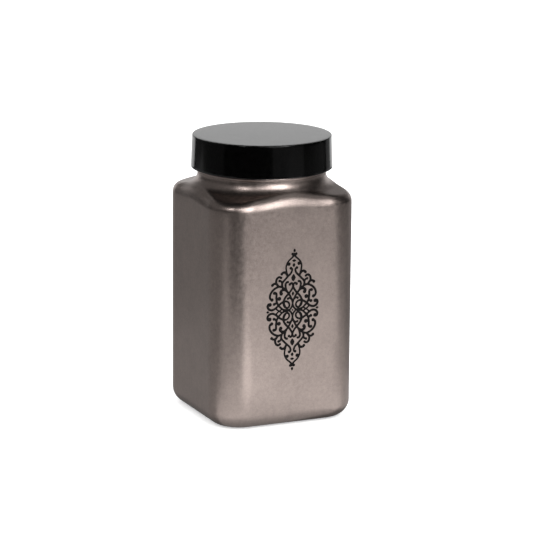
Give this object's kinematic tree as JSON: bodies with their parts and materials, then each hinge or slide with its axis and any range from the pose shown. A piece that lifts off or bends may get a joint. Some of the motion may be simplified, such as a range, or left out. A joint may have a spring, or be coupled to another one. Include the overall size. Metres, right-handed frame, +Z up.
{
  "type": "storage jar",
  "caption": "Square glass storage jar with a satin metallic lacquer, a round screw neck, a smooth black screw lid and a sealing disc inside the lid.",
  "frame": {"origin": "on the floor under the middle of the jar, at the centre of its base", "axes": "+Z up along the screw axis, -Y towards the printed front, +X to the right seen from the front"},
  "size_m": [0.093, 0.093, 0.1724],
  "materials": {
    "lacquered_glass": "satin metallic taupe lacquer sprayed over moulded glass, opaque",
    "black_moulding": "high gloss black moulded plastic",
    "liner_foam": "matt pale foamed plastic"
  },
  "bodies": {
    "jar": {"jar": "lacquered_glass"},
    "liner": {"lid_liner": "liner_foam"},
    "lid": {"lid": "black_moulding"}
  },
  "joints": [
    {"name": "lid_rise", "type": "slide", "parent": "jar", "child": "liner", "axis": [0, 0, 1], "range_m": [0, 0.024]},
    {"name": "lid_turn", "type": "hinge", "parent": "liner", "child": "lid", "pos_m": [0, 0, 0.1526], "axis": [0, 0, 1], "range_deg": [0, 720]}
  ],
  "couplings": [
    {"joint": "lid_rise", "follows": "lid_turn", "m_per_rad": 0.0019099}
  ]
}
